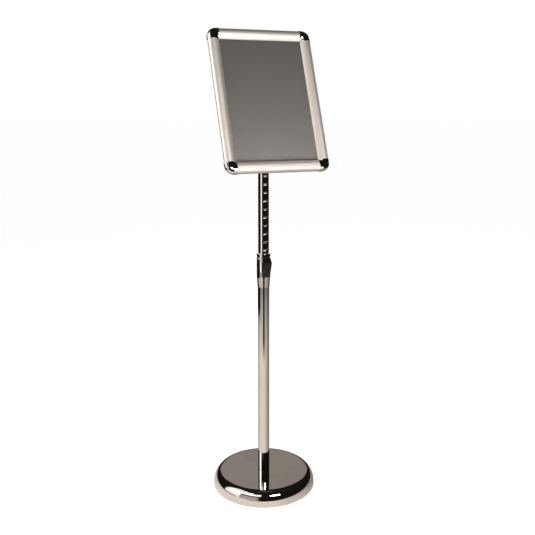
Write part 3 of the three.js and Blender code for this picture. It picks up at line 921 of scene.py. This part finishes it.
# ---- Snap frame -------------------------------------------------------------------------------
@dataclass
class SnapFrame:
    """Four hinged rails on a fixed frame, plated corner caps, backing board and film."""

    finishes: Finishes
    width: float = 241
    height: float = 328
    back: float = 31
    rail: float = 25
    gap: float = 0.3
    tilt: float = 22.5
    pivot_height: float = 918.3
    crest: Point = (9, 13.4)
    inner: float = 6.2
    wall: float = 1.3
    foot: float = 5.9
    lip: float = 5.6
    bead: Triple = (2.9, 6.3, 1.3)
    proud: float = 1.0
    squareness: float = 2.6

    def head_place(self) -> Matrix:
        """From the upright frame about the tilt pivot to the row frame."""
        lean = Matrix.Rotation(math.radians(-self.tilt), 4, "X")
        return Matrix.Translation((0, 0, self.pivot_height * MM)) @ lean

    def side_place(self, side: Side) -> Matrix:
        """From a section drawn in XZ and swept along Y to its side of the frame.

        Args:
            side: which side of the frame.

        Returns:
            The placing matrix: section x is the inset, section z is the height off the back,
            and the sweep's middle is the side's middle.
        """
        across = self.width if side in (Side.LEFT, Side.RIGHT) else self.height
        corner = Matrix.Translation((-across / 2 * MM, -self.back * MM, 0))
        lay = Matrix.Rotation(math.radians(90), 4, "X")
        turn = Matrix.Rotation(math.radians(side.value), 4, "Y")
        return self.head_place() @ turn @ corner @ lay

    def face(self, lift: float, steps: int) -> list[Point]:
        """The rail's sloping face from after the crest to the inner edge."""
        s, h = self.crest
        drop = h - self.inner
        return [(s + (self.rail - s) * t, h + lift - drop * t * t)
                for t in ((i + 1) / steps for i in range(steps))]

    def snap_section(self) -> list[Point]:
        """The hinged rail's curved shell; the hinge hook and spring web are joined to it in
        rails.
        """
        s, h = self.crest
        t = self.wall
        outer = arc((s, self.foot), (s, h - self.foot), (180, 90), 20)
        inner = arc((s, self.foot), (s - t, h - self.foot - t), (90, 180), 10)
        edge = [(self.rail, self.inner - 0.25), (self.rail - 0.15, self.lip + 0.1),
                (self.rail - 0.4, self.lip), (self.rail - 1.3, self.lip)]
        under = list(reversed(self.face(-t, 8)[:-1]))
        face = self.face(0, 16)[:-1]
        near_edge = [(self.rail - 0.2, self.inner + 0.05)]
        return [*outer, *face, *near_edge, *edge, *under, *inner]

    def hook_section(self) -> list[Point]:
        """The hook that wraps the bead of the fixed rail."""
        s, h, r = self.bead
        ring_out = arc((s, h), (s, s), (-10, 186), 20)
        ring_in = arc((s, h), (r + self.gap, r + self.gap), (186, -10), 20)
        return [*ring_out, *ring_in]

    def fixed_section(self) -> list[Point]:
        """The fixed rail: flange, outer lip, stem and hinge bead."""
        s, h, r = self.bead
        bead = arc((s, h), (r, r), (-30, 275), 20)
        return [(0.3, 0), (22, 0), (22, 1.2), (5.1, 1.2), (5.1, 4.9), *bead, (3.9, 4.4),
                (3.9, 1.2), (1.5, 1.2), (1.5, 3.3), (0.3, 3.3)]

    def rails(self, side: Side) -> None:
        """Makes one side's hinged rail and fixed rail."""
        word = side.name.lower()
        along = self.height if side in (Side.LEFT, Side.RIGHT) else self.width
        half = along / 2 - self.rail - self.gap
        satin = (self.finishes.satin_upright if side in (Side.LEFT, Side.RIGHT)
                 else self.finishes.satin_level)
        place = self.side_place(side)
        snap = swept(f"hinged_rail_{word}", self.snap_section(), -half, half, place)
        for part in (
            swept("hook", self.hook_section(), -half, half, place),
            swept("web", [(2, 8.4), (4.6, 8.4), (4.6, 11.2), (2, 10.4)], -half, half, place),
        ):
            combined(snap, part, "UNION")
        settle(snap)
        self.finishes.dress(snap, satin)
        mounted(snap, f"snap_{word}", Slot.SATIN, f"snap_rail_{word}")
        lit_group("frame_metal").objects.link(snap)
        lit_group(f"{word}_rail").objects.link(snap)
        if side in (Side.LEFT, Side.RIGHT):
            lit_group("upright_rails").objects.link(snap)
        fixed = swept(f"fixed_rail_{word}", self.fixed_section(), -half, half, place)
        self.finishes.dress(fixed, satin)
        mounted(fixed, "frame", Slot.SATIN, f"base_rail_{word}")
        self.finishes.dress_nodes(self.finishes.spring, f"leaf_spring_{word}_1",
                                  f"leaf_spring_{word}_2")

    def cap(self, name: str, x: float, z: float, angle: float) -> bpy.types.Object:
        """A corner cap: a quarter turn squared out to the frame's outline.

        Args:
            name: the piece's name.
            x: the inner corner's place across the frame.
            z: its height in the frame.
            angle: its turn about the frame's normal, in degrees.

        Returns:
            The finished cap.
        """
        reach = self.rail + self.proud
        s, h = self.crest
        crest, foot = h + 0.8, 6
        bend = self.rail - s
        outer = arc((bend, foot), (reach - bend, crest - foot), (0, 90), 18)
        top = [(self.rail - a, b) for a, b in self.face(0.5, 12)]
        profile = [(0, 0.3), (reach, 0.3), *outer, *top, (0, self.lip + 0.1), (0, 0.3)]
        piece = drawn(name, profile)
        bpy.ops.mesh.spin(steps=28, angle=math.pi / 2, center=(0, 0, 0), axis=(0, 0, -1))
        weld()
        bpy.ops.object.mode_set(mode="OBJECT")
        take(piece)
        bpy.ops.object.transform_apply(location=True, rotation=True, scale=True)
        power = self.squareness
        for vertex in piece.data.vertices:
            a, b = abs(vertex.co.x), abs(vertex.co.y)
            radius = math.hypot(a, b)
            if radius > WELD:
                stretch = radius / (a ** power + b ** power) ** (1 / power)
                vertex.co.x *= stretch
                vertex.co.y *= stretch
        lay = Matrix.Rotation(math.radians(90), 4, "X")
        turn = Matrix.Rotation(math.radians(angle), 4, "Y")
        place = (self.head_place() @ Matrix.Translation((x * MM, -self.back * MM, z * MM))
                 @ turn @ lay)
        settle(piece, place, angle=35)
        return piece

    def build(self) -> None:
        """Makes the whole frame."""
        for side in Side:
            self.rails(side)
        across = self.width / 2 - self.rail
        up = self.height / 2 - self.rail
        for row, column, x, z, angle in (
                ("upper", "right", across, up, 0), ("lower", "right", across, -up, 90),
                ("lower", "left", -across, -up, 180), ("upper", "left", -across, up, 270)):
            piece = self.cap(f"cap_{row}_{column}", x, z, angle)
            self.finishes.dress(piece, self.finishes.chrome)
            mounted(piece, "frame", Slot.CHROME, f"corner_cap_{row}_{column}")
            lit_group("frame_metal").objects.link(piece)
        board = refined("back_panel", "backing_board", 0.4)
        self.finishes.dress(board, self.finishes.backing)
        mounted(board, "frame", Slot.BACKING, "back_panel")
        film = refined("clear_sheet", "cover_film", 0.15)
        self.finishes.dress(film, self.finishes.film)
        mounted(film, "frame", Slot.COVER, "clear_sheet")
        for piece in (board, film):
            lit_group("sign_face").objects.link(piece)


# ---- Studio -----------------------------------------------------------------------------------
@dataclass(frozen=True)
class Panel:
    """A soft light far from the stand.

    Azimuth is 0 in front of the stand and grows to its right hand side, elevation is above the
    horizon, both in degrees.
    """

    azimuth: Point
    elevation: Point
    glow: float
    soft: float = 3.0
    tint: Colour = (1.0, 0.985, 0.965)


def lit_group(name: str) -> bpy.types.Collection:
    """The group of pieces that one card lights, made when first asked for."""
    found = bpy.data.collections.get(name)
    return found or bpy.data.collections.new(name)


def left_out(piece: bpy.types.Object, name: str) -> None:
    """Keeps a piece out of the light of the cards that use a group.

    Args:
        piece: the piece that stays unlit.
        name: the group's name.
    """
    group = lit_group(name)
    group.objects.link(piece)
    group.collection_objects[len(group.objects) - 1].light_linking.link_state = "EXCLUDE"


@dataclass(frozen=True)
class Card:
    """A lit card near the stand: its middle, size and power in watts."""

    name: str
    middle: Triple
    size: Point
    power: float
    aim: Triple = (0, 0, 0.75)
    mirrored: bool = True
    only: str = ""

    def build(self) -> None:
        """Makes the card, turned towards its aim and unseen by the camera."""
        data = bpy.data.lights.new(self.name, "AREA")
        data.shape = "RECTANGLE"
        data.size, data.size_y = self.size
        data.energy = self.power
        data.color = (1.0, 0.985, 0.965)
        light = bpy.data.objects.new(self.name, data)
        light.location = self.middle
        way = Vector(self.aim) - Vector(self.middle)
        light.rotation_euler = way.to_track_quat("-Z", "Y").to_euler()
        light.visible_camera = False
        light.visible_glossy = self.mirrored
        if self.only:
            light.light_linking.receiver_collection = lit_group(self.only)
        bpy.context.collection.objects.link(light)


@dataclass
class Studio:
    """A pale floor in a dark room with soft light panels and cards."""

    floor_fade: Triple = (0.9, 1.9, 2.6)
    shadow_wedge: Triple = (-17.0, 15.0, 21.0)
    left_edge: Point = (1.32, 1.62)
    panels: tuple[Panel, ...] = (
        Panel((-83, -54), (-34, 3), 1.5),
        Panel((-74, -34), (0, 24), 0.6, 5, (1.0, 0.95, 0.91)),
        Panel((-116, -76), (3, 60), 1.45),
        Panel((-106, -78), (22, 36), 4.2, 2),
        Panel((-77, -50), (32, 54), 2.0, 2.5),
        Panel((-52, -28), (32, 46), 2.0, 2.5),
        Panel((138, 180), (21, 38), 0.36, 2, (1.0, 0.915, 0.86)),
    )
    cards: tuple[Card, ...] = (
        Card("high_card", (0.21, -1.99, 1.47), (0.85, 0.4), 14),
        Card("rail_card", (0.65, -1.88, 0.62), (0.9, 0.55), 15, only="frame_metal"),
        Card("side_card", (-1.5, 0.35, 0.95), (1.0, 1.2), 7, (0, 0, 0.9), only="frame_metal"),
        Card("bottom_rail_card", (0.3, -0.75, 1.85), (0.7, 0.5), 4.6, (0, -0.1, 0.77),
             only="bottom_rail"),
        Card("left_rail_card", (0.82, -1.05, 1.9), (0.8, 0.7), 3.6, (0, 0, 0.9),
             only="left_rail"),
        Card("upright_low_card", (0.15, -0.55, 0.5), (0.4, 0.25), 1.5, (0, -0.06, 0.9),
             only="upright_rails"),
        Card("low_fill", (0.0, -0.47, 0.56), (0.3, 0.2), 11.0, (0, -0.06, 0.9), False,
             "sign_face"),
        Card("notch_card", (0.65, -1.88, 1.4), (1.0, 1.0), 14, only="mast"),
        Card("back_card", (0.7, 1.7, 1.4), (1.9, 1.9), 16, (0, 0, 0.8),
             only="all_but_dish_and_post"),
        Card("right_back_card", (1.75, 0.75, 1.3), (0.9, 1.3), 6, (0, 0, 0.8),
             only="all_but_dish_and_post"),
        Card("left_back_card", (-1.5, 1.1, 1.3), (0.9, 1.3), 6, (0, 0, 0.8),
             only="all_but_dish_and_post"),
        Card("top_fill", (-0.5, -1.2, 2.1), (1.4, 1.0), 2.5, (0, 0, 0.9), False),
    )

    def world(self) -> None:
        """White to the camera; to the stand, a dark room with its panels."""
        world = bpy.data.worlds.new("studio")
        bpy.context.scene.world = world
        world.use_nodes = True
        s = Sheet(world.node_tree)
        way = s.add("ShaderNodeSeparateXYZ", {
            0: s.add("ShaderNodeTexCoord").outputs["Generated"]}).outputs
        azimuth = self.azimuth(s, way)
        elevation = s.sum("MULTIPLY", s.sum("ARCSINE", way[2]), 180 / math.pi)
        room = self.ramp(s, elevation, (
            (-90, (0.30, 0.27, 0.24)), (-32, (0.02, 0.016, 0.013)), (0, (0.012, 0.01, 0.009)),
            (30, (0.012, 0.011, 0.01)), (90, (0.02, 0.018, 0.017))))
        for panel in self.panels:
            mask = s.sum("MULTIPLY", self.window(s, azimuth, panel.azimuth, panel.soft),
                         self.window(s, elevation, panel.elevation, panel.soft))
            glow = rgba(tuple(panel.glow * c for c in panel.tint))
            room = s.blend(mask, room, glow)
        to_camera = s.add("ShaderNodeLightPath").outputs["Is Camera Ray"]
        light = s.add("ShaderNodeBackground",
                      {"Color": s.blend(to_camera, room, (1.0, 1.0, 1.0, 1.0))})
        s.add("ShaderNodeOutputWorld", {"Surface": light.outputs[0]})

    def azimuth(self, s: Sheet, way: Sequence[bpy.types.NodeSocket]) -> bpy.types.NodeSocket:
        """The azimuth in degrees of a direction or place given by its x and y sockets."""
        turn = s.sum("ARCTAN2", way[0], s.sum("MULTIPLY", way[1], -1.0))
        return s.sum("MULTIPLY", turn, 180 / math.pi)

    def window(self, s: Sheet, value: bpy.types.NodeSocket, span: Point, soft: float
               ) -> bpy.types.NodeSocket:
        """1 between the span's ends and 0 outside, with soft edges."""
        rise = s.spread(value, (span[0] - soft, span[0] + soft), (0, 1), smooth=True)
        fall = s.spread(value, (span[1] - soft, span[1] + soft), (1, 0), smooth=True)
        return s.sum("MULTIPLY", rise, fall)

    def ramp(self, s: Sheet, elevation: bpy.types.NodeSocket,
             stops: Iterable[tuple[float, Colour]]) -> bpy.types.NodeSocket:
        """A colour that changes with elevation.

        Args:
            s: the node tree.
            elevation: the elevation in degrees.
            stops: elevations and their colours, from -90 to 90.

        Returns:
            The colour socket.
        """
        node = s.add("ShaderNodeValToRGB",
                     {"Fac": s.spread(elevation, (-90, 90), (0, 1))})
        elements = node.color_ramp.elements
        for i, (angle, colour) in enumerate(stops):
            position = (angle + 90) / 180
            element = elements[i] if i < 2 else elements.new(position)
            element.position = position
            element.color = rgba(colour)
        return node.outputs[0]

    def floor_glow(self, s: Sheet) -> tuple[bpy.types.NodeSocket, bpy.types.NodeSocket]:
        """How bright the floor looks to the plating, and where it fades out.

        Args:
            s: the floor's node tree.

        Returns:
            The brightness socket and the fade socket.
        """
        # Painted light: the floor's glow is a pool of light that fades with distance, is cut off
        # beyond 1.3 to 1.6 m at azimuths below about -80 degrees, and is brightest within 40
        # degrees of azimuth -50.
        where = s.add("ShaderNodeTexCoord").outputs["Object"]
        distance = s.add("ShaderNodeVectorMath", {0: where}, operation="LENGTH").outputs["Value"]
        azimuth = self.azimuth(s, s.add("ShaderNodeSeparateXYZ", {0: where}).outputs)
        behind_left = s.spread(azimuth, (-92, -80), (0, 1), smooth=True)
        left_cut = s.sum("MAXIMUM", behind_left,
                         s.spread(distance, self.left_edge, (1, 0.02), smooth=True))
        near, middle, far = self.floor_fade
        falling = s.sum("MULTIPLY", left_cut, s.spread(distance, (near, middle), (1.0, 0.4)))
        aside = s.sum("ABSOLUTE", s.sum("ADD", azimuth, 50.0))
        lateral = s.spread(aside, (40, 130), (1.12, 0.35))
        # Painted shadow: a dark wedge in the floor's glow around the heading azimuth, from about
        # 0.8 to 1.2 m outwards.
        heading, inner, outer = self.shadow_wedge
        off = s.sum("ABSOLUTE", s.sum("SUBTRACT", azimuth, heading))
        shadow = s.sum("MAXIMUM", s.spread(off, (inner, outer), (0.06, 1), smooth=True),
                       s.spread(distance, (near * 0.9, near * 1.3), (1, 0), smooth=True))
        glow = s.sum("MULTIPLY", s.sum("MULTIPLY", falling, lateral), shadow)
        fade = s.spread(distance, (middle, far), (1, 0), smooth=True)
        return glow, fade

    def floor(self) -> None:
        """The round pale floor, whiter to the camera than to the plating."""
        clear_bench()
        bpy.ops.mesh.primitive_circle_add(vertices=128, radius=40, fill_type="NGON")
        floor = bpy.context.active_object
        floor.name = "studio_floor"
        material = bpy.data.materials.new("studio_floor_paint")
        material.use_nodes = True
        s = Sheet(material.node_tree)
        glow, fade = self.floor_glow(s)
        seen = s.add("ShaderNodeLightPath").outputs["Is Camera Ray"]
        # To the plating the floor is an emission: painted light with a painted shadow, fading to
        # clear far out.
        lit = s.add("ShaderNodeEmission", {"Color": (1.0, 0.94, 0.875, 1), "Strength": glow})
        clear = s.add("ShaderNodeBsdfTransparent")
        painted_floor_glow = s.add("ShaderNodeMixShader", {0: fade, 1: clear.outputs[0], 2: lit.outputs[0]})
        paint = s.add("ShaderNodeBsdfDiffuse", {"Color": (0.5, 0.5, 0.5, 1)})
        fill = s.add("ShaderNodeEmission", {"Color": (0.85, 0.85, 0.85, 1)})
        bright = s.add("ShaderNodeAddShader", {0: paint.outputs[0], 1: fill.outputs[0]})
        mixed = s.add("ShaderNodeMixShader", {
            0: seen, 1: painted_floor_glow.outputs[0], 2: bright.outputs[0]})
        s.add("ShaderNodeOutputMaterial", {"Surface": mixed.outputs[0]})
        floor.data.materials.append(material)

    def build(self) -> None:
        """Sets up the floor, the light and a plain view transform."""
        self.world()
        self.floor()
        for card in self.cards:
            card.build()
        bpy.context.scene.view_settings.view_transform = "Standard"


@dataclass
class Viewpoint:
    """The camera's place and lens."""

    place: Triple = (-0.591, -1.535, 0.922)
    heading: float = -21.38
    pitch: float = 12.74
    lens: float = 48.4

    def build(self) -> None:
        """Makes the camera and makes it the scene's."""
        data = bpy.data.cameras.new("viewpoint")
        data.lens = self.lens
        data.sensor_width = 36
        camera = bpy.data.objects.new("viewpoint", data)
        camera.location = self.place
        camera.rotation_euler = (math.radians(90 - self.pitch), 0, math.radians(self.heading))
        bpy.context.collection.objects.link(camera)
        bpy.context.scene.camera = camera


def main() -> None:
    """Builds the view, the studio and the stand."""
    logging.basicConfig(level=logging.INFO, format="%(message)s")
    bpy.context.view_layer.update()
    Viewpoint().build()
    Studio().build()
    finishes = Finishes()
    for assembly in (Base(finishes), Post(finishes), LatchCollar(finishes), Head(finishes),
                     SnapFrame(finishes)):
        assembly.build()
        LOG.info("%s done", type(assembly).__name__)
    clear_bench()


if __name__ == "__main__":
    main()
